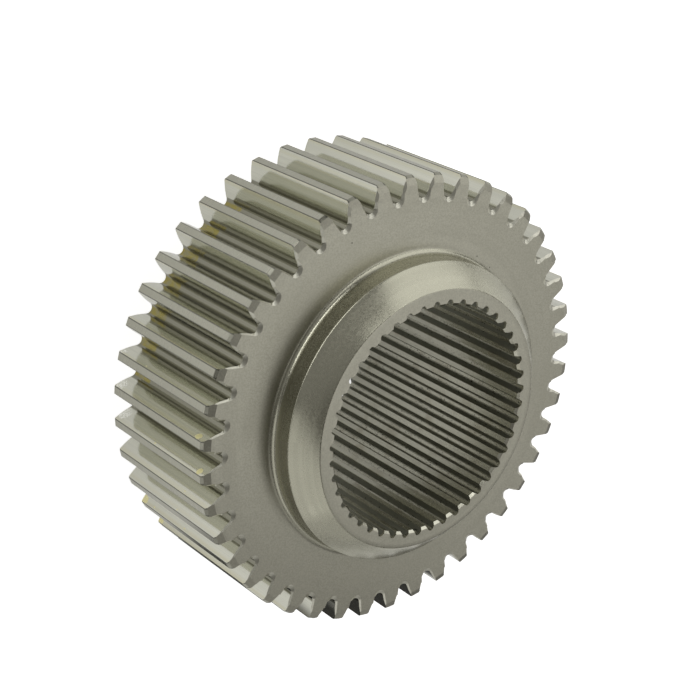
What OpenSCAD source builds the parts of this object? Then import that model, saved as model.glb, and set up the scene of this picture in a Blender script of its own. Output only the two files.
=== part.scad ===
// Sun gear with straight external teeth, a hub on each side and an involute-splined bore.
// Millimetres. It stands on the end of its back hub: origin at the bottom centre, Z along the gear axis.

/* [External teeth] */
// Number of external teeth
teeth = 42; // [38:1:60]
// Module of the external teeth: pitch diameter divided by the number of teeth
tooth_module = 5; // [4.75:0.25:8]
// Pressure angle of the external teeth, in degrees
pressure_angle = 20; // [18:0.5:22]
// Height of the tooth tip above the pitch circle
addendum = 5; // [4:0.1:5.5]
// Depth of the tooth root below the pitch circle
dedendum = 6; // [5.5:0.1:6.5]
// Width of the toothed rim, along the axis
face_w = 73; // [40:1:120]
// Small chamfer along both edges of each tooth tip
tip_edge_break = 0.25; // [0.1:0.05:0.5]

/* [Ends of the tooth tips] */
// Depth of the steep outer facet that ends each tooth tip on the front face
tip_facet_h = 1.4; // [0.8:0.1:2]
// Radial width of that steep outer facet
tip_facet_w = 1.0; // [0.5:0.1:1.5]
// Depth of the shallow inner facet that runs on from it to the front face
tip_slope_h = 1.1; // [0.5:0.1:2]
// Radial width of that shallow inner facet
tip_slope_w = 3.2; // [1:0.1:5]
// Chamfer on the back end of the tooth tips
back_tip_chamfer = 0.5; // [0.2:0.1:1.5]

/* [Ground bevels round the gaps of the front face] */
// Depth of the bevel at the bottom of each tooth gap
root_bevel_h = 1.0; // [0.5:0.1:1.5]
// Width of that bevel, from the bottom of the gap towards the hub
root_bevel_w = 2.1; // [1:0.1:3]
// Radius of the arch that it makes on the front face
root_bevel_r = 3.3; // [2.9:0.1:4]
// Shift of that arch towards the wide bevel
root_bevel_shift = 0.4; // [0:0.05:0.8]
// Angle between the front face and the wide bevel on the counter-clockwise flanks, in degrees
wide_bevel_angle = 42; // [30:1:60]
// Width of its inner facet at the foot of the flank
inner_facet_w = 1.15; // [0.8:0.05:1.6]
// Width of its outer facet where it starts, a little below the pitch circle
outer_facet_w = 1.1; // [0.6:0.05:1.6]
// Angle between the front face and the narrow bevel on the clockwise flanks, in degrees
narrow_bevel_angle = 50; // [35:1:65]
// Width of the narrow bevel at the foot of the flank
narrow_bevel_w = 0.65; // [0.4:0.05:1.2]
// Width that each facet still has where it runs out
facet_end_w = 0.2; // [0.1:0.05:0.5]
// Depth below the pitch circle at which the outer facet starts
outer_facet_start = 1.6; // [0.8:0.1:2.4]
// Depth below the tooth tip at which the bevels run out
bevel_end = 2; // [1.5:0.1:3]

/* [Hubs] */
// Diameter of both hubs
hub_d = 146; // [140:1:160]
// Height of the front hub above the toothed rim
front_hub_h = 21; // [14:1:60]
// Height of the back hub below the toothed rim
back_hub_h = 21; // [14:1:60]
// Size of the 45 degree chamfer on the end of each hub
hub_chamfer = 10; // [4:0.5:10]
// Radius of the fillet where each hub meets the rim
hub_fillet = 3; // [1:0.5:4]

/* [Splined bore] */
// Number of internal spline teeth
spline_teeth = 45; // [40:1:46]
// Module of the internal spline
spline_module = 2.5; // [2.25:0.05:2.55]
// Pressure angle of the internal spline, in degrees
spline_pressure_angle = 30; // [27:0.5:33]
// Height of the spline crests inside the spline pitch circle
spline_crest_h = 1.25; // [0.8:0.05:1.5]
// Depth of the spline grooves outside the spline pitch circle
spline_groove_h = 1.7; // [1.2:0.05:2.0]
// Radius in the bottom corners of the spline grooves
spline_corner_r = 0.4; // [0.1:0.05:0.5]
// Size of the 45 degree chamfer at each end of the bore
bore_chamfer = 1.1; // [0.5:0.1:1.5]
// Turn about the axis from the middle of a tooth to the middle of a spline groove, in degrees
spline_turn = -1.77; // [-4:0.01:4]

/* [Hidden] */

steel = [0.62, 0.61, 0.55];

// Straight steps along one flank, half a root, one spline flank and one spline corner
flank_steps = 5;
root_steps = 6;
spline_steps = 2;
corner_steps = 2;

// A cut reaches this far past the face that it opens
past = 1;

// Heights of the rim's two faces and of the front hub's end
rim_z = back_hub_h;
front_z = rim_z + face_w;
top_z = front_z + front_hub_h;

// Radii of the toothed rim
pitch_r = teeth * tooth_module / 2;
tip_r = pitch_r + addendum;
root_r = pitch_r - dedendum;
base_r = pitch_r * cos(pressure_angle);
gap_angle = 360 / teeth;

// Radii of the hubs and the spline
hub_r = hub_d / 2;
spline_pitch_r = spline_teeth * spline_module / 2;
spline_base_r = spline_pitch_r * cos(spline_pressure_angle);
crest_r = spline_pitch_r - spline_crest_h;
groove_r = spline_pitch_r + spline_groove_h;

function polar(r, a) = [r * cos(a), r * sin(a)];
function turned(p, a) = [p.x * cos(a) - p.y * sin(a), p.x * sin(a) + p.y * cos(a)];
function mirrored(points) = [for (i = [len(points) - 1 : -1 : 0]) [points[i].x, -points[i].y]];
function degrees(arc, r) = arc / r * 180 / PI;

// Involute function of an angle, in degrees
function inv(a) = tan(a) * 180 / PI - a;

// Half the angle that one of n teeth with base circle base and pressure angle pa takes up at radius r
function half_tooth(n, base, pa, r) = 90 / n + inv(pa) - inv(acos(base / r));
function flank_angle(r) = half_tooth(teeth, base_r, pressure_angle, r);
function groove_angle(r) = half_tooth(spline_teeth, spline_base_r, spline_pressure_angle, r);

// The root is one arc that touches both flanks and the root circle. Its centre lies on the involute that
// is moved out of the flank by the arc's radius, so this is how far that centre is from mid-gap, in degrees.
function off_middle(rho) =
    gap_angle / 2 - 90 / teeth - inv(pressure_angle)
    - degrees(rho, base_r) + inv(acos(base_r / (root_r + rho)));

// Halves the interval from lo to hi until the centre lies in the middle of the gap
function full_round(lo, hi, halvings) =
    let (mid = (lo + hi) / 2)
    halvings == 0 ? mid
    : off_middle(mid) > 0 ? full_round(mid, hi, halvings - 1)
    : full_round(lo, mid, halvings - 1);

root_arc_r = full_round(0.1 * tooth_module, tooth_module, 30);
root_arc_x = root_r + root_arc_r;

// Where the flank runs into the root arc: its radius, and the arc's half angle seen from the arc's centre
foot_r = norm([base_r, sqrt(pow(root_arc_x, 2) - pow(base_r, 2)) - root_arc_r]);
foot = polar(foot_r, gap_angle / 2 - flank_angle(foot_r));
root_half = atan2(foot.y, root_arc_x - foot.x);

// From mid-gap up the clockwise side of the tooth on angle 0. The tip land is left to the turned blank, so the
// outline goes past it.
function half_outline() =
    let (flank_end = tip_r - tip_edge_break,
         land_angle = flank_angle(flank_end) - degrees(tip_edge_break, tip_r))
    concat(
        [for (i = [0 : root_steps - 1])
            let (p = [root_arc_x, 0] + polar(root_arc_r, 180 - root_half * i / root_steps))
            turned(p, -gap_angle / 2)],
        [for (i = [0 : flank_steps])
            let (r = foot_r + (flank_end - foot_r) * i / flank_steps)
            polar(r, -flank_angle(r))],
        [polar(tip_r, -land_angle), polar(tip_r + past, -land_angle)]);

// The last point of a tooth is mid-gap, which the next tooth starts with
module gear_outline() {
    half = half_outline();
    tooth = concat(half, mirrored(half));
    polygon([for (k = [0 : teeth - 1]) for (i = [0 : len(tooth) - 2]) turned(tooth[i], k * gap_angle)]);
}

// Half of the spline groove on angle 0, from its mouth to the middle of its bottom
function half_groove() =
    let (side_r = groove_r - spline_corner_r,
         corner_a = groove_angle(groove_r) - degrees(spline_corner_r, groove_r),
         centre = polar(side_r, -corner_a))
    concat(
        [for (i = [0 : spline_steps])
            let (r = crest_r + (side_r - crest_r) * i / spline_steps)
            polar(r, -groove_angle(r))],
        [for (i = [1 : corner_steps])
            centre + polar(spline_corner_r, 90 * i / corner_steps - 90 - corner_a)]);

module spline_outline() {
    half = half_groove();
    groove = concat(half, mirrored(half));
    pitch = 360 / spline_teeth;
    polygon([for (k = [0 : spline_teeth - 1]) for (p = groove) turned(p, k * pitch + spline_turn)]);
}

// The turned blank: both hubs, their fillets and the rim with the ends of its tooth tips
module blank() {
    slope_r = tip_r - tip_facet_w;
    fillet_r = hub_r + hub_fillet;
    rotate_extrude($fn = 180) difference() {
        polygon([
            [0, 0],
            [hub_r - hub_chamfer, 0],
            [hub_r, hub_chamfer],
            [hub_r, rim_z - hub_fillet],
            [fillet_r, rim_z],
            [tip_r - back_tip_chamfer, rim_z],
            [tip_r, rim_z + back_tip_chamfer],
            [tip_r, front_z - tip_slope_h - tip_facet_h],
            [slope_r, front_z - tip_slope_h],
            [slope_r - tip_slope_w, front_z],
            [fillet_r, front_z],
            [hub_r, front_z + hub_fillet],
            [hub_r, top_z - hub_chamfer],
            [hub_r - hub_chamfer, top_z],
            [0, top_z]]);
        for (z = [rim_z - hub_fillet, front_z + hub_fillet])
            translate([fillet_r, z]) circle(r = hub_fillet, $fn = 64);
    }
}

// Spline grooves right through the part, with a chamfer at each end
module splined_bore() {
    translate([0, 0, -past]) linear_extrude(height = top_z + 2 * past) spline_outline();
    bore_mouth();
    translate([0, 0, top_z]) mirror([0, 0, 1]) bore_mouth();
}

module bore_mouth() {
    translate([0, 0, -past])
        cylinder(h = past + bore_chamfer, r1 = crest_r + bore_chamfer + past, r2 = crest_r, $fn = 180);
}

// How far the flank bevels run on past the foot of the flank
inner_facet_past_foot = 1.1;
narrow_bevel_past_foot = 1.6;

// How far the cuts reach across the gap and up. The outer facet dips halfway with the slope of the tip.
facet_reach = 2.6;
facet_rise = 3;
outer_facet_dip = atan(tip_slope_h / tip_slope_w) / 2;

// Point on the counter-clockwise flank of the tooth on angle 0, moved w into the tooth
function inside(r, w) = polar(r, flank_angle(r)) - [0, w];

// A flat cut whose underside meets the front face along the line from a out to b, started short of a by lead
module facet_cut(a, b, angle, lead = 0, dip = 0) {
    run = b - a;
    translate([a.x, a.y, front_z]) rotate(atan2(run.y, run.x)) rotate([0, dip, 0]) rotate([-angle, 0, 0])
        translate([-lead, -past, 0]) cube([norm(run) + lead, past + facet_reach, facet_rise]);
}

// Two facets, of which the inner one runs out at the pitch circle, beside the outer one
module wide_bevel() {
    facet_cut(inside(foot_r, inner_facet_w), inside(pitch_r, facet_end_w),
        wide_bevel_angle, lead = inner_facet_past_foot);
    facet_cut(inside(pitch_r - outer_facet_start, outer_facet_w), inside(tip_r - bevel_end, facet_end_w),
        wide_bevel_angle, dip = outer_facet_dip);
}

module narrow_bevel() {
    mirror([0, 1, 0])
        facet_cut(inside(foot_r, narrow_bevel_w), inside(tip_r - bevel_end, facet_end_w),
            narrow_bevel_angle, lead = narrow_bevel_past_foot);
}

// A cone that bevels the bottom of the gap on angle 0. Its lower end stays in the open gap.
module root_bevel() {
    spread = root_bevel_w / root_bevel_h;
    end_r = root_bevel_r / 5;
    depth = (root_bevel_r - end_r) / spread;
    translate([root_r - root_bevel_w + root_bevel_r, -root_bevel_shift, front_z - depth])
        cylinder(h = depth + past, r1 = end_r, r2 = root_bevel_r + spread * past, $fn = 64);
}

module bevels() {
    for (k = [0 : teeth - 1]) rotate(k * gap_angle) {
        wide_bevel();
        narrow_bevel();
        rotate(gap_angle / 2) root_bevel();
    }
}

module sun_gear() {
    color(steel) difference() {
        intersection() {
            blank();
            linear_extrude(height = top_z) gear_outline();
        }
        splined_bore();
        bevels();
    }
}

sun_gear();
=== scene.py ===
import math

import bmesh
import bpy
from mathutils import Matrix, Vector


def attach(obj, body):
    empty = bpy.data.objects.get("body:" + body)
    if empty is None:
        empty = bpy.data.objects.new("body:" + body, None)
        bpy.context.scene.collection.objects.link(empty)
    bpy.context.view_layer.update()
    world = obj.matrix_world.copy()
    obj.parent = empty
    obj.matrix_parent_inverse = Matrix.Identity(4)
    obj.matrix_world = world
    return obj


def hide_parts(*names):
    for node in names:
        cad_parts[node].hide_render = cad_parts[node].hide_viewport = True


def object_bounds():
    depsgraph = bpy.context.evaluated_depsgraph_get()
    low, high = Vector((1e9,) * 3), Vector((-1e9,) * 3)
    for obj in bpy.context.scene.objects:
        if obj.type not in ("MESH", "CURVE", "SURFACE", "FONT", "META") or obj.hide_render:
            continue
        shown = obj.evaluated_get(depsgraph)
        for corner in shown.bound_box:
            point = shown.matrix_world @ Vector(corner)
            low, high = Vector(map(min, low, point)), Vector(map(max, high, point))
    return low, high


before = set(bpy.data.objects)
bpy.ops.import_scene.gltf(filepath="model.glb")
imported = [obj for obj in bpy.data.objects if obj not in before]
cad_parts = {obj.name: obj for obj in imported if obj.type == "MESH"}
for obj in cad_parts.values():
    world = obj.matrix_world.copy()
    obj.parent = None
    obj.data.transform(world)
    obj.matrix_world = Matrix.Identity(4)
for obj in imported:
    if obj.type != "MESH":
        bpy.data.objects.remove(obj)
cad_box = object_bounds()

# Sizes of the gear in millimetres, as in the part's source. The mesh is built in them and scaled at the end.
MM = 0.001
TEETH = 42
MODULE = 5.0
PRESSURE_ANGLE = math.radians(20)
ROOT_DEPTH = 6.0
PITCH_R = TEETH * MODULE / 2
TIP_R = PITCH_R + MODULE
ROOT_R = PITCH_R - ROOT_DEPTH
BASE_R = PITCH_R * math.cos(PRESSURE_ANGLE)
GAP_ANGLE = math.tau / TEETH
TIP_EDGE_BREAK = 0.25

# Heights of the faces, from the floor up. The overall height is the frame's.
TOP_Z = cad_box[1].z / MM
HUB_H = 21.0
BACK_Z = HUB_H
FRONT_Z = TOP_Z - HUB_H

# Ends of the tooth tips: where the slope and the steep facet start and how deep they go
SLOPE_R = TIP_R - 4.2
STEEP_R = TIP_R - 1.0
SLOPE_DROP = 1.1
STEEP_DROP = 1.4
BACK_CHAMFER = 0.5

# Ground bevels round the gaps of the front face
ROOT_BEVEL_H = 1.0
ROOT_BEVEL_W = 2.1
ROOT_BEVEL_R = 3.3
ROOT_BEVEL_SHIFT = 0.4
WIDE_ANGLE = math.radians(42)
NARROW_ANGLE = math.radians(50)
INNER_FACET_W = 1.15
OUTER_FACET_W = 1.1
NARROW_W = 0.65
FACET_END_W = 0.2
OUTER_FACET_R = PITCH_R - 1.6
BEVEL_END_R = TIP_R - 2.0
INNER_LEAD = 1.1
NARROW_LEAD = 1.6

# Hub and its edges
HUB_R = 73.0
HUB_CHAMFER = 10.0
HUB_FILLET = 3.0
EDGE_ROUND = 0.35
FILLET_STEPS = 8
EDGE_STEPS = 4

# Splined bore
SPLINE_TEETH = 45
SPLINE_MODULE = 2.5
SPLINE_PRESSURE_ANGLE = math.radians(30)
SPLINE_PITCH_R = SPLINE_TEETH * SPLINE_MODULE / 2
SPLINE_BASE_R = SPLINE_PITCH_R * math.cos(SPLINE_PRESSURE_ANGLE)
CREST_R = SPLINE_PITCH_R - 1.25
GROOVE_R = SPLINE_PITCH_R + 1.7
SPLINE_CORNER_R = 0.4
BORE_CHAMFER = 1.1
MOUTH_R = CREST_R + BORE_CHAMFER
SPLINE_ANGLE = math.tau / SPLINE_TEETH
SPLINE_TURN = math.radians(-1.77)
SPLINE_TOOTH_TURN = SPLINE_TURN + SPLINE_ANGLE / 2
GROOVE_STEPS = 2
CORNER_STEPS = 5
FLANK_STEPS = 3
# Points of the groove's side that the chamfer of the mouth reaches, counted from the crest
MOUTH_POINTS = 3

# Rings that join the hub to the toothed rim and to the spline. Their 630 steps make 15 for each tooth and
# 14 for each spline tooth.
TOOTH_STEPS = 15
SPLINE_STEPS = 14
HUB_STEPS = TEETH * TOOTH_STEPS
HUB_STEP = math.tau / HUB_STEPS
RIM_RING_R = HUB_R + HUB_FILLET + 0.4
HUB_RING_R = 60.5
MERGE = 0.002
SHARP_ANGLE = math.radians(16)
# How often an interval is halved, and a point moved along its facet, until the place is exact
HALVINGS = 40
LIP_MOVES = 6


def polar(r, a, z=0.0):
    return Vector((r * math.cos(a), r * math.sin(a), z))


def involute(angle):
    return math.tan(angle) - angle


def half_tooth(teeth, base_r, pressure_angle, r):
    """Half the angle that a tooth takes up at radius r."""
    return math.pi / (2 * teeth) + involute(pressure_angle) - involute(math.acos(base_r / r))


def flank_angle(r):
    return half_tooth(TEETH, BASE_R, PRESSURE_ANGLE, r)


def groove_angle(r):
    return half_tooth(SPLINE_TEETH, SPLINE_BASE_R, SPLINE_PRESSURE_ANGLE, r)


def halve(low, high, is_past):
    """The value between low and high past which is_past holds."""
    for _ in range(HALVINGS):
        middle = (low + high) / 2
        if is_past(middle):
            high = middle
        else:
            low = middle
    return high


def full_round_root():
    """Radius of the root arc that touches both flanks and the root circle."""
    def is_too_wide(rho):
        centre_angle = (math.pi / (2 * TEETH) + involute(PRESSURE_ANGLE) + rho / BASE_R
                        - involute(math.acos(BASE_R / (ROOT_R + rho))))
        return centre_angle >= GAP_ANGLE / 2

    return halve(0.1 * MODULE, MODULE, is_too_wide)


ROOT_ARC_R = full_round_root()
ROOT_ARC_X = ROOT_R + ROOT_ARC_R
FOOT_R = math.hypot(BASE_R, math.sqrt(ROOT_ARC_X**2 - BASE_R**2) - ROOT_ARC_R)


def extrude_row(bm, row, targets):
    """Extrudes a chain of vertices and puts each new vertex at its target. Returns the new chain."""
    edges = [bm.edges.get(pair) for pair in zip(row, row[1:])]
    grown = bmesh.ops.extrude_edge_only(bm, edges=edges)["geom"]
    fresh = {v for v in grown if isinstance(v, bmesh.types.BMVert)}
    chain = []
    for old, target in zip(row, targets):
        new = next(e.other_vert(old) for e in old.link_edges if e.other_vert(old) in fresh)
        new.co = target
        chain.append(new)
    return chain


def start_row(bm, points):
    """A chain of vertices joined by edges."""
    row = [bm.verts.new(p) for p in points]
    for pair in zip(row, row[1:]):
        bm.edges.new(pair)
    return row


def loft(bm, rows):
    """A surface that runs through rows of points, extruded from one to the next."""
    chain = start_row(bm, rows[0])
    for points in rows[1:]:
        chain = extrude_row(bm, chain, points)


def plate(bm, points):
    """One flat face with these corners, left out where two follow each other on the same spot."""
    corners = [p for p, q in zip(points, points[1:] + points[:1]) if (p - q).length > MERGE]
    bm.faces.new([bm.verts.new(p) for p in corners])


def face_drop(r):
    """How far the front end of a tooth lies below the front face, at radius r."""
    if r <= SLOPE_R:
        return 0.0
    if r <= STEEP_R:
        return SLOPE_DROP * (r - SLOPE_R) / (STEEP_R - SLOPE_R)
    return SLOPE_DROP + STEEP_DROP * (r - STEEP_R) / (TIP_R - STEEP_R)


class Facet:
    """A flat bevel on the +Y flank of the tooth on +X.

    Its line on the front face runs from radius r_a to r_b, w_a and w_b away from the flank. It starts
    earlier by lead and sinks outwards by the angle dip."""

    def __init__(self, r_a, w_a, r_b, w_b, angle, lead=0.0, dip=0.0):
        a = polar(r_a, flank_angle(r_a)) - Vector((0, w_a, 0))
        b = polar(r_b, flank_angle(r_b)) - Vector((0, w_b, 0))
        self.along = (b - a).normalized()
        self.across = Vector((-self.along.y, self.along.x, 0))
        self.start = a - self.along * lead
        self.slope = math.tan(angle) / math.cos(dip)
        self.dip = math.tan(dip)

    def station(self, p):
        return (p - self.start).dot(self.along)

    def depth(self, p):
        return (p - self.start).dot(self.across) * self.slope + self.station(p) * self.dip

    def lip(self, p):
        """Where the facet comes out of the tooth's end, beside the point p of the flank."""
        lip = p
        for _ in range(LIP_MOVES):
            lip = p - self.across * ((self.depth(p) - face_drop(lip.length)) / self.slope)
        return lip


INNER_FACET = Facet(FOOT_R, INNER_FACET_W, PITCH_R, FACET_END_W, WIDE_ANGLE, lead=INNER_LEAD)
OUTER_FACET = Facet(OUTER_FACET_R, OUTER_FACET_W, BEVEL_END_R, FACET_END_W, WIDE_ANGLE,
                    dip=math.atan(SLOPE_DROP / (STEEP_R - SLOPE_R)) / 2)
NARROW_FACET = Facet(FOOT_R, NARROW_W, BEVEL_END_R, FACET_END_W, NARROW_ANGLE, lead=NARROW_LEAD)

# Points along one side of the gap: the root arc, the bevels, the slope and the tip
ARC_STEPS = 12
FACET_STEPS = 4
SLOPE_STEPS = 3
LAND_STEPS = 4
STEP_W = 0.01
# Between which points of the gap's side, as wall_point counts them, a facet starts
FACET_STARTS = (0.2, 1.9)
PLAIN_RADII = (STEEP_R, TIP_R - BACK_CHAMFER, TIP_R - TIP_EDGE_BREAK)

ROOT_FOOT = polar(FOOT_R, flank_angle(FOOT_R) - GAP_ANGLE / 2)
ROOT_HALF_ANGLE = math.atan2(-ROOT_FOOT.y, ROOT_ARC_X - ROOT_FOOT.x)
TO_MID_GAP = Matrix.Rotation(GAP_ANGLE / 2, 3, "Z")


def wall_point(t):
    """Point of the gap's side: 0 is mid-gap, 1 the foot of the flank, 2 the tip circle."""
    if t < 1:
        return TO_MID_GAP @ (Vector((ROOT_ARC_X, 0, 0)) + polar(ROOT_ARC_R, math.pi + ROOT_HALF_ANGLE * t))
    r = FOOT_R + (TIP_R - FOOT_R) * (t - 1)
    return polar(r, flank_angle(r))


def wall_at_radius(r):
    return 1 + (r - FOOT_R) / (TIP_R - FOOT_R)


def steps(a, b, count):
    return [a + (b - a) * i / count for i in range(count + 1)]


def gap_side(facets, shift):
    """Tops of the gap's wall and lips of its bevels, from mid-gap to the tip edge.

    The third result is the index at which the tip's slope starts. shift moves the root bevel's arch to one
    side."""
    centre = TO_MID_GAP @ Vector((ROOT_R - ROOT_BEVEL_W + ROOT_BEVEL_R, shift, 0))
    first, last = facets[0], facets[-1]
    thin = STEP_W / (TIP_R - FOOT_R)

    def bearing(p):
        return math.atan2(p.y - centre.y, p.x - centre.x) % math.tau

    starts = [halve(*FACET_STARTS, lambda t: f.station(wall_point(t)) > 0) for f in facets]
    slope_start = wall_at_radius(SLOPE_R)

    bearings = steps(bearing(wall_point(0)), bearing(first.start), ARC_STEPS)
    rows = []
    for t, angle in zip(steps(0, starts[0], ARC_STEPS), bearings):
        p = wall_point(t)
        depth = (ROOT_BEVEL_R - (p - centre).length) * ROOT_BEVEL_H / ROOT_BEVEL_W
        rows.append((p, depth, centre + polar(ROOT_BEVEL_R, angle)))
    if len(facets) > 1:
        end = starts[1]
        run_out = first.start + first.along * (last.station(first.start) / -last.along.dot(first.along))
    else:
        end = slope_start
        run_out = first.lip(wall_point(end))
    for t, lip in zip(steps(starts[0] + thin, end, FACET_STEPS), steps(first.start, run_out, FACET_STEPS)):
        rows.append((wall_point(t), first.depth(wall_point(t)), lip))
    if len(facets) > 1:
        outer = [wall_point(t) for t in steps(end + thin, slope_start, FACET_STEPS)]
        rows += [(p, last.depth(p), last.lip(p)) for p in outer]
    slope_index = len(rows) - 1
    p, depth, lip = rows[-1]
    rows[-1] = (p, depth, lip.normalized() * SLOPE_R)
    over = halve(slope_start, wall_at_radius(BEVEL_END_R),
                 lambda t: last.depth(wall_point(t)) < face_drop(wall_point(t).length))
    sloped = [wall_point(t) for t in steps(slope_start, over, SLOPE_STEPS)]
    rows += [(p, max(last.depth(p), face_drop(p.length)), last.lip(p)) for p in sloped[1:]]
    plain = [wall_point(over + thin)] + [polar(r, flank_angle(r)) for r in PLAIN_RADII]
    rows += [(p, face_drop(p.length), p) for p in plain]

    tops = [Vector((p.x, p.y, FRONT_Z - depth)) for p, depth, _ in rows]
    lips = [Vector((p.x, p.y, FRONT_Z - face_drop(p.length))) for _, _, p in rows]
    return tops, lips, slope_index


def flipped(points):
    return [Vector((p.x, -p.y, p.z)) for p in points]


def rung(a, b, count):
    """Points across a tooth from a to b, evenly in angle, radius and height."""
    r = (a.xy.length, b.xy.length)
    z = (a.z, b.z)
    angle = (math.atan2(a.y, a.x), math.atan2(b.y, b.x))
    return [polar(*p) for p in zip(steps(*r, count), steps(*angle, count), steps(*z, count))]


def arc_ring(r, start, count, z):
    """Points of the circle r on the hub's steps, counter-clockwise from the angle start."""
    return [polar(r, start + HUB_STEP * i, z) for i in range(count + 1)]


def tooth_sector():
    """One tooth pitch: flanks, tip, bevels and its share of both faces of the rim."""
    bm = bmesh.new()
    wide_top, wide_lip, wide_slope = gap_side((INNER_FACET, OUTER_FACET), -ROOT_BEVEL_SHIFT)
    narrow_top, narrow_lip, narrow_slope = gap_side((NARROW_FACET,), ROOT_BEVEL_SHIFT)
    narrow_top, narrow_lip = flipped(narrow_top), flipped(narrow_lip)
    land_angle = flank_angle(TIP_R - TIP_EDGE_BREAK) - TIP_EDGE_BREAK / TIP_R
    land_z = FRONT_Z - face_drop(TIP_R)
    land_top = rung(polar(TIP_R, land_angle, land_z), polar(TIP_R, -land_angle, land_z), LAND_STEPS)

    def at_back(points):
        return [Vector((p.x, p.y, BACK_Z + max(0.0, p.xy.length - TIP_R + BACK_CHAMFER))) for p in points]

    outline = wide_top + land_top + narrow_top[::-1]
    loft(bm, [at_back(outline), outline])
    loft(bm, [wide_top, wide_lip])
    loft(bm, [narrow_top, narrow_lip])

    front_rungs = [rung(a, b, LAND_STEPS) for a, b in zip(wide_lip[wide_slope:], narrow_lip[narrow_slope:])]
    loft(bm, front_rungs + [land_top])
    tips = zip(at_back(wide_top[-2:]), at_back(narrow_top[-2:]))
    back_rungs = [rung(a, b, LAND_STEPS) for a, b in tips]
    loft(bm, back_rungs + [at_back(land_top)])

    ring = arc_ring(RIM_RING_R, -GAP_ANGLE / 2, TOOTH_STEPS, FRONT_Z)
    plate(bm, wide_lip[:wide_slope] + front_rungs[0] + narrow_lip[:narrow_slope][::-1] + ring)
    back_ring = arc_ring(RIM_RING_R, -GAP_ANGLE / 2, TOOTH_STEPS, BACK_Z)
    plate(bm, at_back(wide_top[:-2]) + back_rungs[0] + at_back(narrow_top[:-2])[::-1] + back_ring)
    return bm


def repeat_round(bm, count):
    """Copies the sector in bm round the axis, count in all."""
    geom = bm.verts[:] + bm.edges[:] + bm.faces[:]
    bmesh.ops.spin(bm, geom=geom, cent=(0, 0, 0), axis=(0, 0, 1), dvec=(0, 0, 0),
                   angle=math.tau * (count - 1) / count, steps=count - 1, use_duplicate=True)
    bmesh.ops.remove_doubles(bm, verts=bm.verts, dist=MERGE)


def hub_shell(bm, face_z, end_z):
    """One hub, turned from its profile of fillet, wall, chamfer and end."""
    out = 1 if end_z > face_z else -1
    profile = [(RIM_RING_R, face_z), (HUB_R, face_z), (HUB_R, end_z - out * HUB_CHAMFER),
               (HUB_R - HUB_CHAMFER, end_z), (HUB_RING_R, end_z)]
    hub = bmesh.new()
    row = start_row(hub, [polar(r, GAP_ANGLE / 2, z) for r, z in profile])
    bevel = dict(affect="VERTICES", profile=0.5, material=-1)
    bmesh.ops.bevel(hub, geom=row[1:2], offset=HUB_FILLET, segments=FILLET_STEPS, **bevel)
    bmesh.ops.bevel(hub, geom=row[2:4], offset=EDGE_ROUND, segments=EDGE_STEPS, **bevel)
    bmesh.ops.spin(hub, geom=hub.verts[:] + hub.edges[:], cent=(0, 0, 0), axis=(0, 0, 1), dvec=(0, 0, 0),
                   angle=math.tau, steps=HUB_STEPS, use_merge=True)
    add_part(bm, hub)


def spline_groove_side():
    """Side of the splined bore from mid-groove to the crest of the spline tooth on +X."""
    side_r = GROOVE_R - SPLINE_CORNER_R
    corner_angle = groove_angle(GROOVE_R) - SPLINE_CORNER_R / GROOVE_R
    centre = polar(side_r, -corner_angle)
    bottom = [polar(GROOVE_R, a) for a in steps(0, -corner_angle, GROOVE_STEPS)]
    quarter = steps(0, -math.pi / 2, CORNER_STEPS)
    corner = [centre + polar(SPLINE_CORNER_R, a - corner_angle) for a in quarter]
    radii = steps(side_r, MOUTH_R, FLANK_STEPS) + [(MOUTH_R + CREST_R) / 2, CREST_R]
    flank = [polar(r, -groove_angle(r)) for r in radii]
    turn = Matrix.Rotation(SPLINE_ANGLE / 2, 3, "Z")
    return [turn @ p for p in bottom[:-1] + corner[:-1] + flank]


def spline_sector():
    """One spline tooth with half a groove on each side, and its share of both ends of the hubs."""
    bm = bmesh.new()
    side = spline_groove_side()
    outline = side + flipped(side)[::-1]

    def mouth(points):
        return [max(0.0, MOUTH_R - p.xy.length) for p in points]

    back = [Vector((p.x, p.y, h)) for p, h in zip(outline, mouth(outline))]
    front = [Vector((p.x, p.y, TOP_Z - h)) for p, h in zip(outline, mouth(outline))]
    loft(bm, [back, front])
    first = -SPLINE_ANGLE / 2
    to_hub_step = (GAP_ANGLE / 2 - SPLINE_TOOTH_TURN - first) % HUB_STEP
    low, high = len(side) - MOUTH_POINTS, len(side) + MOUTH_POINTS
    for chain, z in ((back, 0.0), (front, TOP_Z)):
        rungs = [rung(a, b, 1) for a, b in zip(chain[low:len(side)], chain[len(side):high][::-1])]
        loft(bm, rungs)
        ring = arc_ring(HUB_RING_R, first + to_hub_step, SPLINE_STEPS, z)
        plate(bm, chain[:low] + rungs[0] + chain[high:] + ring)
    return bm


def add_part(bm, part):
    """Moves the mesh of part into bm."""
    mesh = bpy.data.meshes.new("part")
    part.to_mesh(mesh)
    part.free()
    bm.from_mesh(mesh)
    bpy.data.meshes.remove(mesh)


# Which finish each face gets, in the order of the gear's materials
FACE, FLANK, BEVEL, TIP, HUB, SPLINE = range(6)
# How far up the normal of a flat, a sloped and a bevelled face points, and how far out that of a tip's end
FLAT = 0.99
SLOPED = 0.7
BEVELLED = 0.2
OUTWARDS = 0.98


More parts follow.
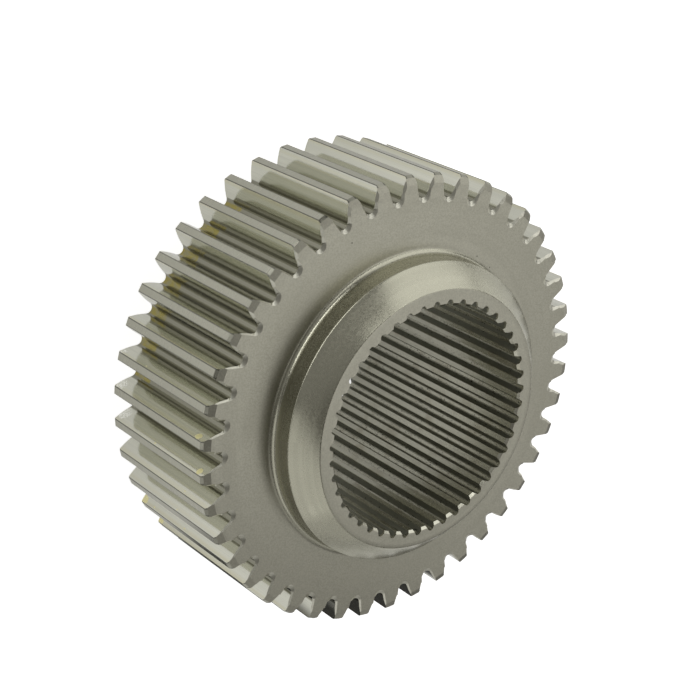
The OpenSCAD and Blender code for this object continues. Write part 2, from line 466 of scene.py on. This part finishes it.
def finish_of(face):
    """The finish of a face, by where it lies and which way it looks."""
    middle = face.calc_center_median()
    r = middle.xy.length
    up = face.normal.z
    if abs(up) > FLAT:
        return FACE
    if r < HUB_RING_R:
        return SPLINE
    if r < RIM_RING_R:
        return HUB
    at_tip = min(v.co.xy.length for v in face.verts) > TIP_R - TIP_EDGE_BREAK - MERGE
    faces_out = middle.xy.normalized().dot(face.normal.xy.normalized()) > OUTWARDS
    on_end = r > SLOPE_R and faces_out
    if on_end and up > SLOPED:
        return FACE
    if at_tip or (on_end and up > 0):
        return TIP
    return BEVEL if up > BEVELLED else FLANK


def build_gear(materials):
    bm = bmesh.new()
    teeth = tooth_sector()
    repeat_round(teeth, TEETH)
    add_part(bm, teeth)
    hub_shell(bm, FRONT_Z, TOP_Z)
    hub_shell(bm, BACK_Z, 0.0)
    spline = spline_sector()
    repeat_round(spline, SPLINE_TEETH)
    bmesh.ops.rotate(spline, verts=spline.verts, matrix=Matrix.Rotation(SPLINE_TOOTH_TURN, 3, "Z"))
    add_part(bm, spline)
    bmesh.ops.remove_doubles(bm, verts=bm.verts, dist=MERGE)
    bmesh.ops.recalc_face_normals(bm, faces=bm.faces)
    for face in bm.faces:
        face.smooth = True
        face.material_index = finish_of(face)
    for edge in bm.edges:
        edge.smooth = edge.calc_face_angle(math.pi) < SHARP_ANGLE
    bmesh.ops.scale(bm, vec=(MM, MM, MM), verts=bm.verts)
    mesh = bpy.data.meshes.new("steel_sun_gear")
    bm.to_mesh(mesh)
    bm.free()
    for material in materials:
        mesh.materials.append(material)
    gear = bpy.data.objects.new("steel_sun_gear", mesh)
    bpy.context.scene.collection.objects.link(gear)
    return gear


# Steel as it reflects: the ground flanks are the brightest; the root is darker, as painted shade for the
# dark reflections in the gaps
GROUND_STEEL = (0.60, 0.60, 0.52)
FILED_STEEL = (0.62, 0.61, 0.52)
DULL_STEEL = (0.385, 0.375, 0.31)
LAND_STEEL = (0.385, 0.38, 0.315)
TURNED_STEEL = (0.43, 0.422, 0.337)
ROOT_PAINTED_SHADE = (0.235, 0.23, 0.18)
SPLINE_STEEL = (0.58, 0.57, 0.475)
PAINTED_GROOVE_SHADE = (0.29, 0.29, 0.24)
BROWN_FILM = (0.22, 0.18, 0.10)
DRIED_OIL = (0.29, 0.25, 0.075)
OILED_EDGE = (0.54, 0.51, 0.34)
PAINTED_EDGE_REFLECTION = (0.13, 0.13, 0.11)
YELLOW_PAINT = (0.78, 0.73, 0.42)
PALE_SCUFF = (0.90, 0.90, 0.84)
DARK_PIT = (0.05, 0.05, 0.045)

# Roughness of each surface where its grain and streaks are weak, and where they are strong
FACE_ROUGHNESS = (0.33, 0.40)
FLANK_ROUGHNESS = (0.11, 0.17)
FILED_ROUGHNESS = (0.38, 0.30)
LAND_ROUGHNESS = (0.27, 0.33)
HUB_ROUGHNESS = (0.22, 0.32)
SPLINE_ROUGHNESS = (0.20, 0.28)


def put(tree, kind, values, **settings):
    """Adds a node. Each of its inputs, by name or number, gets a value or the output of another node."""
    node = tree.nodes.new(kind)
    for name, value in settings.items():
        setattr(node, name, value)
    for key, value in values.items():
        if isinstance(value, bpy.types.NodeSocket):
            tree.links.new(value, node.inputs[key])
        else:
            node.inputs[key].default_value = value
    return node


def maths(tree, operation, *values):
    return put(tree, "ShaderNodeMath", dict(enumerate(values)), operation=operation).outputs[0]


def vector(tree, x, y, z):
    return put(tree, "ShaderNodeCombineXYZ", {0: x, 1: y, 2: z}).outputs[0]


def vector_maths(tree, operation, *values):
    return put(tree, "ShaderNodeVectorMath", dict(enumerate(values)), operation=operation).outputs


def noise(tree, place, scale, detail):
    values = {"Vector": place, "Scale": scale, "Detail": detail}
    return put(tree, "ShaderNodeTexNoise", values).outputs["Fac"]


def fade(tree, value, low, high, to_low=0.0, to_high=1.0):
    """Goes smoothly from to_low to to_high while value goes from low to high."""
    values = {"Value": value, 1: low, 2: high, 3: to_low, 4: to_high}
    return put(tree, "ShaderNodeMapRange", values, interpolation_type="SMOOTHSTEP").outputs[0]


def blend(tree, amount, a, b):
    """Colour a where amount is 0 and colour b where it is 1."""
    mix = put(tree, "ShaderNodeMix", {0: amount}, data_type="RGBA")
    for key, colour in ((6, a), (7, b)):
        if isinstance(colour, bpy.types.NodeSocket):
            tree.links.new(colour, mix.inputs[key])
        else:
            mix.inputs[key].default_value = (*colour, 1)
    return mix.outputs[2]


def shared_group(name, inputs, outputs):
    """An empty node group with these sockets, and what goes in and out of it."""
    group = bpy.data.node_groups.new(name, "ShaderNodeTree")
    for way, sockets in (("INPUT", inputs), ("OUTPUT", outputs)):
        for label, kind in sockets.items():
            group.interface.new_socket(label, in_out=way, socket_type="NodeSocket" + kind)
    return group, group.nodes.new("NodeGroupInput").outputs, group.nodes.new("NodeGroupOutput").inputs


# Patches of mottling in a metre, and how many streaks there are for one tool mark
MOTTLE_SCALE = 60.0
STREAK_SHARE = 0.22


def place_group():
    """Where a point lies on the gear in millimetres: out from the axis, round it, up it, across its tooth.

    Pitch is the angle from tooth to tooth and Turn that of one tooth's middle."""
    group, given, result = shared_group(
        "place_on_gear", {"Object": "Vector", "Pitch": "Float", "Turn": "Float"},
        {"Radius": "Float", "Round": "Float", "Height": "Float", "Across": "Float"})
    split = put(group, "ShaderNodeSeparateXYZ", {0: given["Object"]}).outputs
    squares = [maths(group, "POWER", split[axis], 2.0) for axis in "XY"]
    radius = maths(group, "DIVIDE", maths(group, "SQRT", maths(group, "ADD", *squares)), MM)
    angle = maths(group, "ARCTAN2", split["Y"], split["X"])
    teeth = maths(group, "DIVIDE", maths(group, "SUBTRACT", angle, given["Turn"]), given["Pitch"])
    part = maths(group, "SUBTRACT", teeth, maths(group, "ROUND", teeth))
    across = maths(group, "MULTIPLY", maths(group, "MULTIPLY", part, given["Pitch"]), radius)
    for label, value in (("Radius", radius), ("Round", maths(group, "MULTIPLY", angle, radius)),
                         ("Height", maths(group, "DIVIDE", split["Z"], MM)), ("Across", across)):
        group.links.new(value, result[label])
    return group


def grain_group():
    """Fine grain and broad mottling of bare steel. Size is the grain's, in millimetres."""
    group, given, result = shared_group("steel_grain", {"Object": "Vector", "Size": "Float"}, {
        "Grain": "Float", "Mottle": "Float"})
    fine = noise(group, given["Object"], maths(group, "DIVIDE", 1 / MM, given["Size"]), 3.0)
    broad = noise(group, given["Object"], MOTTLE_SCALE, 4.0)
    group.links.new(fade(group, fine, 0.3, 0.7), result["Grain"])
    group.links.new(fade(group, broad, 0.3, 0.7), result["Mottle"])
    return group


def lines_group():
    """Fine parallel tool marks. They run across the direction in which Pattern changes fast."""
    group, given, result = shared_group("tool_marks", {"Pattern": "Vector", "Pitch": "Float"}, {
        "Lines": "Float", "Streaks": "Float"})
    lines = noise(group, given["Pattern"], maths(group, "DIVIDE", 1.0, given["Pitch"]), 2.0)
    streaks = noise(group, given["Pattern"], maths(group, "DIVIDE", STREAK_SHARE, given["Pitch"]), 3.0)
    group.links.new(fade(group, lines, 0.3, 0.7), result["Lines"])
    group.links.new(fade(group, streaks, 0.35, 0.65), result["Streaks"])
    return group


def spot_group():
    """One stained spot with a ragged edge. Its centre on the gear and its reach are in millimetres."""
    group, given, result = shared_group("stained_spot", {
        "Place": "Vector", "Centre": "Vector", "Reach": "Vector", "Ragged": "Float"}, {"Spot": "Float"})
    apart = vector_maths(group, "SUBTRACT", given["Place"], given["Centre"])[0]
    scaled = vector_maths(group, "DIVIDE", apart, given["Reach"])[0]
    far = vector_maths(group, "LENGTH", scaled)["Value"]
    rough = maths(group, "MULTIPLY", noise(group, given["Place"], 0.9, 4.0), given["Ragged"])
    group.links.new(fade(group, maths(group, "ADD", far, rough), 1.0, 0.8), result["Spot"])
    return group


PLACE, GRAIN, LINES, SPOT = place_group(), grain_group(), lines_group(), spot_group()


# The radius at which distances round the gear are measured for a spot
SPOT_R = 100.0


class Finish:
    """A steel material that is being put together."""

    def __init__(self, name, pitch=GAP_ANGLE, turn=0.0):
        self.material = bpy.data.materials.new(name)
        self.material.use_nodes = True
        self.tree = self.material.node_tree
        self.shader = self.tree.nodes["Principled BSDF"]
        self.shader.inputs["Metallic"].default_value = 1.0
        self.object = put(self.tree, "ShaderNodeTexCoord", {}).outputs["Object"]
        place = self.use(PLACE, {"Object": self.object, "Pitch": pitch, "Turn": turn})
        self.radius, self.round, self.height, self.across = place[:4]
        self.angle = maths(self.tree, "DIVIDE", self.round, self.radius)
        around = maths(self.tree, "MULTIPLY", self.angle, SPOT_R)
        self.place = vector(self.tree, self.radius, around, self.height)

    def use(self, group, values):
        """Puts a shared group into the material and returns its outputs."""
        return put(self.tree, "ShaderNodeGroup", values, node_tree=group).outputs

    def grain(self, size):
        return self.use(GRAIN, {"Object": self.object, "Size": size})

    def marks(self, x, y, z, pitch):
        """Tool marks that run where x, y and z change slowly."""
        return self.use(LINES, {"Pattern": vector(self.tree, x, y, z), "Pitch": pitch})

    def slowed(self, value, share):
        """A place that changes less, so that the marks run long in its direction."""
        return maths(self.tree, "MULTIPLY", value, share)

    def spot(self, angle, radius, height, reach, ragged):
        """A spot at this bearing, from -180 to 180 degrees. reach is outwards, round and up the gear."""
        centre = (radius, math.radians(angle) * SPOT_R, height)
        values = {"Place": self.place, "Centre": centre, "Reach": reach, "Ragged": ragged}
        return self.use(SPOT, values)["Spot"]

    def spots(self, places, ragged=0.5):
        mask = 0.0
        for place in places:
            mask = maths(self.tree, "MAXIMUM", mask, self.spot(*place, ragged=ragged))
        return mask

    def shade(self, colour, roughness, relief, depth):
        """Joins colour, roughness and relief to the shader. depth is the relief's height in millimetres."""
        bump = put(self.tree, "ShaderNodeBump", {"Strength": 1.0, "Distance": depth * MM, "Height": relief})
        for key, value in (("Base Color", colour), ("Roughness", roughness), ("Normal", bump.outputs[0])):
            self.tree.links.new(value, self.shader.inputs[key])
        return self.material


def toned(colour, share):
    """The colour made darker, or lighter where share is over 1."""
    return tuple(c * share for c in colour)


# Pits, paint and scuffs: bearing in degrees, radius, height, and reach outwards, round and up
FACE_PITS = [(115.1, 91.4, FRONT_Z, (0.5, 0.5, 1.0)), (53.0, 76.6, FRONT_Z, (0.5, 0.7, 1.0)),
             (61.3, 77.2, FRONT_Z, (0.4, 0.8, 1.0))]


def ground_face():
    """The rim's faces, the hubs' ends and the tips' slopes: dull, mottled, with a grain and a few pits."""
    finish = Finish("ground_face")
    tree = finish.tree
    grain = finish.grain(size=0.7)
    marks = finish.marks(finish.radius, finish.slowed(finish.round, share=0.02), 0.0, pitch=0.8)
    colour = blend(tree, grain["Mottle"], toned(DULL_STEEL, 0.93), DULL_STEEL)
    colour = blend(tree, grain["Grain"], colour, toned(DULL_STEEL, 1.16))
    colour = blend(tree, finish.spots(FACE_PITS), colour, DARK_PIT)
    roughness = fade(tree, maths(tree, "ADD", grain["Mottle"], marks["Streaks"]), 0.0, 2.0, *FACE_ROUGHNESS)
    relief = maths(tree, "ADD", grain["Grain"], maths(tree, "MULTIPLY", marks["Lines"], 0.3))
    return finish.shade(colour, roughness, relief, depth=0.006)


# Radii between which the root's painted shade, and the film along the edge of the tip, go from nothing to
# full
ROOT_SHADE_RADII = (FOOT_R + 0.7, FOOT_R - 0.1)
EDGE_FILM = (TIP_R - 3.0, TIP_R - 0.6)
# Dried oil lies in the roots from the one tooth to the other, counted from +X. The pairs say how far from
# the tooth's middle it begins, and how high it ran up from the back face.
OILED_TEETH = (13, 21)
OIL_ACROSS = (ROOT_R * GAP_ANGLE / 2 - 2.0, ROOT_R * GAP_ANGLE / 2 - 1.4)
OIL_UP = (BACK_Z + 13.1, BACK_Z + 12.5)
# What paint, scuffs and oil add to the roughness
COVER_ROUGHNESS = 0.35
OIL_ROUGHNESS = 0.15
PAINT_SPOTS = [(178.55, 108.3, 87.8, (2.5, 2.2, 2.9)), (-172.9, 108.3, 89.0, (2.6, 2.2, 2.4)),
               (-147.2, 108.4, 22.6, (3.2, 2.6, 3.6)), (-138.4, 108.9, 22.6, (3.0, 2.4, 3.2)),
               (-172.7, 108.9, 54.2, (0.5, 0.8, 1.0)), (-147.0, 108.7, 31.2, (0.5, 0.8, 0.8)),
               (-147.1, 108.5, 56.8, (0.5, 0.8, 0.7)), (-155.5, 109.2, 62.0, (0.4, 0.8, 0.7)),
               (170.1, 108.8, 42.7, (0.4, 0.8, 0.7)), (-164.2, 108.6, 74.6, (0.4, 0.8, 0.8))]
SCUFFS = [(178.8, 107.0, 23.5, (7.0, 4.5, 6.0)), (-173.6, 105.5, 23.5, (7.0, 4.5, 6.0)),
          (170.4, 108.5, 23.0, (3.5, 4.0, 3.5))]


def ground_teeth():
    """Flanks and roots: bright and smooth, with grinding lines along the tooth, painted shade in the roots,
    old stains.
    """
    finish = Finish("ground_teeth")
    tree = finish.tree
    grain = finish.grain(size=0.6)
    marks = finish.marks(finish.radius, finish.round, finish.slowed(finish.height, share=0.003), pitch=0.8)
    # Painted shade: the roots are darkened in colour, for the dark reflections in the gaps.
    painted_root_shade = fade(tree, finish.radius, *ROOT_SHADE_RADII)
    steel = blend(tree, marks["Streaks"], toned(GROUND_STEEL, 0.93), GROUND_STEEL)
    steel = blend(tree, maths(tree, "MULTIPLY", marks["Lines"], 0.4), steel, toned(GROUND_STEEL, 1.1))
    colour = blend(tree, painted_root_shade, steel, ROOT_PAINTED_SHADE)

    from_middle = maths(tree, "ABSOLUTE", finish.across)
    on_floor = maths(tree, "MULTIPLY", fade(tree, from_middle, *OIL_ACROSS),
                     fade(tree, finish.height, *OIL_UP))
    first, last = (GAP_ANGLE * tooth for tooth in OILED_TEETH)
    wrapped = maths(tree, "FLOORED_MODULO", finish.angle, math.tau)
    within = maths(tree, "COMPARE", wrapped, (first + last) / 2, (last - first) / 2)
    ragged = fade(tree, noise(tree, finish.place, 0.35, 4.0), 0.3, 0.6, 0.4, 0.95)
    oil = maths(tree, "MULTIPLY", maths(tree, "MULTIPLY", on_floor, within), ragged)
    paint = finish.spots(PAINT_SPOTS)
    scratch = fade(tree, noise(tree, finish.place, 1.6, 5.0), 0.46, 0.54)
    scuff = maths(tree, "MULTIPLY", finish.spots(SCUFFS, ragged=0.8), scratch)
    at_edge = maths(tree, "MULTIPLY", fade(tree, finish.radius, *EDGE_FILM, 0.0, 0.6), marks["Streaks"])
    colour = blend(tree, at_edge, colour, OILED_EDGE)
    colour = blend(tree, oil, colour, DRIED_OIL)
    colour = blend(tree, paint, colour, YELLOW_PAINT)
    colour = blend(tree, scuff, colour, PALE_SCUFF)

    smooth = fade(tree, marks["Streaks"], 0.0, 1.0, *FLANK_ROUGHNESS)
    covered = maths(tree, "MAXIMUM", paint, scuff)
    roughness = maths(tree, "ADD", smooth, maths(tree, "MULTIPLY", covered, COVER_ROUGHNESS))
    roughness = maths(tree, "ADD", roughness, maths(tree, "MULTIPLY", oil, OIL_ROUGHNESS))
    relief = maths(tree, "ADD", marks["Lines"], maths(tree, "MULTIPLY", grain["Grain"], 0.3))
    return finish.shade(colour, roughness, relief, depth=0.0003)


def filed_bevels():
    """The bevels round the gaps of the front face, broken by hand: a short grain in no one direction."""
    finish = Finish("filed_bevels")
    tree = finish.tree
    grain = finish.grain(size=0.5)
    colour = blend(tree, grain["Grain"], toned(FILED_STEEL, 0.85), FILED_STEEL)
    roughness = fade(tree, grain["Grain"], 0.0, 1.0, *FILED_ROUGHNESS)
    return finish.shade(colour, roughness, grain["Grain"], depth=0.006)


# From where to where the edge of a tooth's land is darkened by a painted dark reflection, measured from the
# tooth's middle
LAND_HALF = TIP_R * flank_angle(TIP_R)
LAND_EDGE_REFLECTION = (LAND_HALF - 0.45, LAND_HALF - 0.1)


def turned_tips():
    """Lands of the teeth and their steep ends: turned before the cutting, with lines across the land and a
    painted dark reflection along its edges.
    """
    finish = Finish("turned_tips")
    tree = finish.tree
    grain = finish.grain(size=0.6)
    marks = finish.marks(finish.height, finish.slowed(finish.round, share=0.05), finish.radius, pitch=0.4)
    colour = blend(tree, marks["Lines"], toned(LAND_STEEL, 0.92), LAND_STEEL)
    colour = blend(tree, maths(tree, "MULTIPLY", grain["Grain"], 0.3), colour, toned(LAND_STEEL, 1.12))
    # Painted reflection: both edges of the land are darkened in colour, as if they mirrored something dark.
    edge = fade(tree, maths(tree, "ABSOLUTE", finish.across), *LAND_EDGE_REFLECTION)
    colour = blend(tree, edge, colour, PAINTED_EDGE_REFLECTION)
    roughness = fade(tree, marks["Streaks"], 0.0, 1.0, *LAND_ROUGHNESS)
    relief = maths(tree, "ADD", marks["Lines"], maths(tree, "MULTIPLY", grain["Grain"], 0.5))
    return finish.shade(colour, roughness, relief, depth=0.003)


# Distances from the hub's end between which the wall's faint grain turns into the chamfer's strong one
CHAMFER_START = (HUB_CHAMFER + 0.3, HUB_CHAMFER - 0.3)
WALL_GRAIN = 0.15
HUB_PITS = [(79.6, 73.0, 97.9, (1.0, 0.5, 0.5)), (84.5, 73.0, 95.9, (1.0, 0.4, 0.4))]


def turned_hub():
    """Both hubs: turned, with fine rings and a sparkling grain on the chamfer."""
    finish = Finish("turned_hub")
    tree = finish.tree
    grain = finish.grain(size=1.1)
    marks = finish.marks(finish.radius, finish.slowed(finish.round, share=0.015), finish.height, pitch=0.5)
    colour = blend(tree, grain["Mottle"], toned(TURNED_STEEL, 0.94), TURNED_STEEL)
    colour = blend(tree, maths(tree, "MULTIPLY", grain["Grain"], 0.5), colour, toned(TURNED_STEEL, 1.15))
    colour = blend(tree, finish.spots(HUB_PITS), colour, PALE_SCUFF)
    roughness = fade(tree, maths(tree, "ADD", grain["Grain"], marks["Streaks"]), 0.0, 2.0, *HUB_ROUGHNESS)
    from_end = maths(tree, "MINIMUM", finish.height, maths(tree, "SUBTRACT", TOP_Z, finish.height))
    on_chamfer = fade(tree, from_end, *CHAMFER_START, WALL_GRAIN, 1.0)
    relief = maths(tree, "ADD", maths(tree, "MULTIPLY", marks["Lines"], 0.2),
                   maths(tree, "MULTIPLY", grain["Grain"], on_chamfer))
    return finish.shade(colour, roughness, relief, depth=0.0055)


# Radii between which the painted shade on the side of a groove begins and ends, the height at which it
# begins below the mouth, and how far from the middle of a spline tooth its land is nicked
SIDE_FROM = (CREST_R + 0.1, CREST_R + 0.5)
SIDE_TO = (GROOVE_R - 0.15, GROOVE_R - 0.5)
BELOW_MOUTH = (TOP_Z - BORE_CHAMFER + 0.2, TOP_Z - BORE_CHAMFER - 0.1)
SPLINE_LAND = CREST_R * groove_angle(CREST_R)
NICKED_EDGE = (SPLINE_LAND - 0.6, SPLINE_LAND - 0.2)
# What the sides of the grooves, where shade is painted, add to the roughness
SIDE_ROUGHNESS = 0.2


def cut_spline():
    """The splined bore: draw marks along it, painted shade on the sides of the grooves, brown patches and
    small nicks.
    """
    finish = Finish("cut_spline", SPLINE_ANGLE, SPLINE_TOOTH_TURN)
    tree = finish.tree
    grain = finish.grain(size=0.8)
    marks = finish.marks(finish.radius, finish.round, finish.slowed(finish.height, share=0.003), pitch=0.7)
    colour = blend(tree, marks["Streaks"], toned(SPLINE_STEEL, 0.9), SPLINE_STEEL)
    colour = blend(tree, maths(tree, "MULTIPLY", marks["Lines"], 0.4), colour, toned(SPLINE_STEEL, 1.12))
    film = fade(tree, noise(tree, finish.object, 90.0, 2.0), 0.5, 0.72, 0.0, 0.3)
    colour = blend(tree, film, colour, BROWN_FILM)
    # Painted shade: the sides of the grooves below the mouth are darkened in colour.
    on_side = maths(tree, "MULTIPLY", fade(tree, finish.radius, *SIDE_FROM),
                    fade(tree, finish.radius, *SIDE_TO))
    in_bore = fade(tree, finish.height, *BELOW_MOUTH)
    side = maths(tree, "MULTIPLY", on_side, in_bore)
    colour = blend(tree, side, colour, PAINTED_GROOVE_SHADE)
    nick = fade(tree, noise(tree, finish.place, 0.9, 2.0), 0.62, 0.66)
    at_edge = fade(tree, maths(tree, "ABSOLUTE", finish.across), *NICKED_EDGE)
    colour = blend(tree, maths(tree, "MULTIPLY", nick, at_edge), colour, DARK_PIT)
    roughness = fade(tree, maths(tree, "ADD", grain["Grain"], marks["Streaks"]), 0.0, 2.0, *SPLINE_ROUGHNESS)
    roughness = maths(tree, "ADD", roughness, maths(tree, "MULTIPLY", side, SIDE_ROUGHNESS))
    return finish.shade(colour, roughness, marks["Lines"], depth=0.002)


gear = build_gear([ground_face(), ground_teeth(), filed_bevels(), turned_tips(), turned_hub(), cut_spline()])
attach(gear, "root")
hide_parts("sun_gear")

# The white of the floor that comes on top of what the lamps give it: for the camera, and for what the steel
# mirrors. What the steel mirrors is a painted glow, brighter on the near side of the gear than behind it,
# with a painted shadow in one patch beside it.
FLOOR_HALF = 12.0
CAMERA_WHITE = 0.80
NEAR_PAINTED_GLOW = 0.50
NEAR_X = -0.16
FAR_PAINTED_GLOW = 0.28
FAR_X = 0.10
PAINTED_SHADOW_CENTRE = (-0.02, -0.20, 0.0)
PAINTED_SHADOW_R = 0.08
LIGHT_AGAIN_R = 0.13
PAPER = (0.8, 0.8, 0.8)
SHADED_PAPER = (0.10, 0.10, 0.10)


def white_floor():
    """A matt white paper floor that keeps the gear's shadow. Where the steel mirrors it, it has a painted
    glow and a painted shadow.
    """
    bm = bmesh.new()
    bmesh.ops.create_grid(bm, x_segments=1, y_segments=1, size=FLOOR_HALF)
    mesh = bpy.data.meshes.new("floor")
    bm.to_mesh(mesh)
    bm.free()
    floor = bpy.data.objects.new("floor", mesh)
    bpy.context.scene.collection.objects.link(floor)
    material = bpy.data.materials.new("white_paper")
    material.use_nodes = True
    tree = material.node_tree
    paper = tree.nodes["Principled BSDF"]
    paper.inputs["Roughness"].default_value = 1.0
    paper.inputs["Specular IOR Level"].default_value = 0.0
    path = put(tree, "ShaderNodeLightPath", {}).outputs
    mirrored = maths(tree, "MAXIMUM", path["Is Glossy Ray"], path["Is Transmission Ray"])
    spot = put(tree, "ShaderNodeTexCoord", {}).outputs["Object"]
    # Painted shadow: in one patch beside the gear, the paper that the steel mirrors is darker and its glow
    # fades out.
    apart = vector_maths(tree, "DISTANCE", spot, PAINTED_SHADOW_CENTRE)["Value"]
    light = fade(tree, apart, PAINTED_SHADOW_R, LIGHT_AGAIN_R)
    shaded = blend(tree, light, SHADED_PAPER, PAPER)
    tree.links.new(blend(tree, mirrored, PAPER, shaded), paper.inputs["Base Color"])
    # Painted glow: what the steel mirrors of the floor glows brighter on the near side of the gear than
    # behind it.
    along = put(tree, "ShaderNodeSeparateXYZ", {0: spot}).outputs["X"]
    graded = fade(tree, along, NEAR_X, FAR_X, NEAR_PAINTED_GLOW, FAR_PAINTED_GLOW)
    painted_mirrored_glow = maths(tree, "MULTIPLY", light, graded)
    white = maths(tree, "ADD", maths(tree, "MULTIPLY", path["Is Camera Ray"], CAMERA_WHITE),
                  maths(tree, "MULTIPLY", mirrored, painted_mirrored_glow))
    glow = put(tree, "ShaderNodeEmission", {"Strength": white})
    both = put(tree, "ShaderNodeAddShader", {0: paper.outputs[0], 1: glow.outputs[0]})
    tree.links.new(both.outputs[0], tree.nodes["Material Output"].inputs["Surface"])
    mesh.materials.append(material)


GEAR_MIDDLE = Vector((0, 0, 0.06))
LAMP_DISTANCE = 1.3
# Each soft lamp: azimuth from +X towards +Y and elevation in degrees, width and height in metres, radiance
LAMPS = {
    "window_softbox": (55, 27, 1.3, 1.0, 1.10),
    "far_softbox": (354, 54, 1.3, 0.9, 0.80),
    "near_softbox": (222, 26, 1.6, 0.7, 0.70),
    "ceiling_softbox": (333, 82, 0.6, 0.6, 0.40),
    "low_softbox": (5, 8, 1.0, 0.36, 0.9),
    "back_strip": (134, 11, 1.3, 0.26, 3.4),
    "high_softbox": (135, 42, 1.9, 0.6, 0.18),
    "top_strip": (83, 52, 0.8, 0.15, 2.5),
    "side_softbox": (278, 14, 1.3, 0.5, 0.45),
    "edge_softbox": (280, 46, 0.4, 0.7, 0.45),
}
ROOM_COLOUR = (1, 0.97, 0.90, 1)
ROOM_STRENGTH = 0.13


def softbox(name, azimuth, elevation, width, height, radiance):
    """A soft lamp that faces the gear."""
    data = bpy.data.lights.new(name, "AREA")
    data.shape = "RECTANGLE"
    data.size = width
    data.size_y = height
    data.energy = radiance * math.pi * width * height
    lamp = bpy.data.objects.new(name, data)
    bearing, up = math.radians(azimuth), math.radians(elevation)
    towards = Vector((math.cos(bearing) * math.cos(up), math.sin(bearing) * math.cos(up), math.sin(up)))
    lamp.location = GEAR_MIDDLE + towards * LAMP_DISTANCE
    lamp.rotation_euler = towards.to_track_quat("Z", "Y").to_euler()
    bpy.context.scene.collection.objects.link(lamp)


def studio():
    """An even, dim room with soft lamps all round the gear."""
    world = bpy.data.worlds.new("studio")
    world.use_nodes = True
    room = world.node_tree.nodes["Background"].inputs
    room["Color"].default_value = ROOM_COLOUR
    room["Strength"].default_value = ROOM_STRENGTH
    bpy.context.scene.world = world
    for name, values in LAMPS.items():
        softbox(name, *values)


# The camera's lens and sensor in millimetres, its place in metres and its turn in degrees
LENS = 87.04
SENSOR_W = 36.0
NEAREST = 0.05
CAMERA_PLACE = (-0.49035, 0.29169, 0.63263)
CAMERA_TURN = (-24.369, -38.157, 6.648)


def camera():
    """The camera at the photograph's angle."""
    data = bpy.data.cameras.new("camera")
    data.lens = LENS
    data.sensor_width = SENSOR_W
    data.clip_start = NEAREST
    eye = bpy.data.objects.new("camera", data)
    eye.location = CAMERA_PLACE
    eye.rotation_euler = [math.radians(a) for a in CAMERA_TURN]
    bpy.context.scene.collection.objects.link(eye)
    bpy.context.scene.camera = eye


white_floor()
studio()
camera()
bpy.context.scene.view_settings.view_transform = "Standard"
